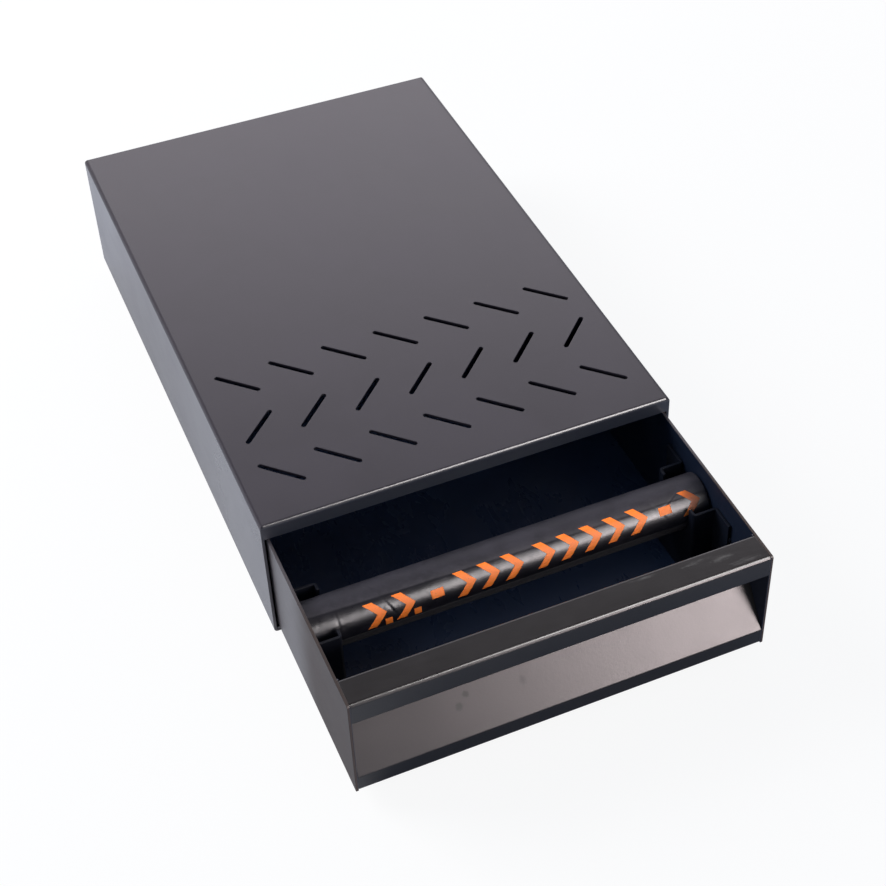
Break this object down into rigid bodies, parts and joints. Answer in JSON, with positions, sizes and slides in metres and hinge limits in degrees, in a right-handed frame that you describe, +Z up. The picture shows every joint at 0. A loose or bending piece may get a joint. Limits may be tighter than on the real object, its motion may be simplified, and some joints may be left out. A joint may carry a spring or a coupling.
{
  "type": "knock box grinder base",
  "caption": "Sheet-steel base that a coffee grinder stands on, with a pull-out drawer and a rubber-covered bar for knocking out used coffee.",
  "frame": {"origin": "middle of the footprint with the drawer 150 mm open, on the surface that the feet stand on", "axes": "+Z up, +Y from the drawer's front towards the casing's back, +X to the right as seen from the drawer"},
  "size_m": [0.3, 0.605, 0.1093],
  "materials": {
    "casing_coat": "satin black powder coat",
    "drawer_coat": "satin black powder coat",
    "hose_rubber": "satin moulded rubber",
    "foot_rubber": "matte",
    "slide_strip": "smooth low-friction plastic tape",
    "zinc_steel": "zinc plated"
  },
  "bodies": {
    "casing": {"casing_shell": "casing_coat", "back_panel": "casing_coat", "base_plate": "casing_coat", "glide_left": "slide_strip", "glide_right": "slide_strip", "foot_front_left": "foot_rubber", "foot_front_right": "foot_rubber", "foot_back_left": "foot_rubber", "foot_back_right": "foot_rubber", "foot_screw_front_left": "zinc_steel", "foot_screw_front_right": "zinc_steel", "foot_screw_back_left": "zinc_steel", "foot_screw_back_right": "zinc_steel", "bumper_left": "foot_rubber", "bumper_right": "foot_rubber"},
    "drawer": {"drawer_tray": "drawer_coat", "drawer_side_left": "drawer_coat", "drawer_side_right": "drawer_coat", "bar_bracket_left": "drawer_coat", "bar_bracket_right": "drawer_coat"},
    "bar": {"bar_core": "zinc_steel"},
    "bar_sleeve": {"bar_hose": "hose_rubber"}
  },
  "joints": [
    {"name": "drawer_slide", "type": "slide", "parent": "casing", "child": "drawer", "axis": [0, -1, 0], "range_m": [-0.15, 0.2]},
    {"name": "bar_lift", "type": "slide", "parent": "drawer", "child": "bar", "axis": [0, 0, 1], "range_m": [0, 0.02]},
    {"name": "sleeve_turn", "type": "hinge", "parent": "bar", "child": "bar_sleeve", "pos_m": [0, -0.2101, 0.0677], "axis": [1, 0, 0], "continuous": true}
  ]
}
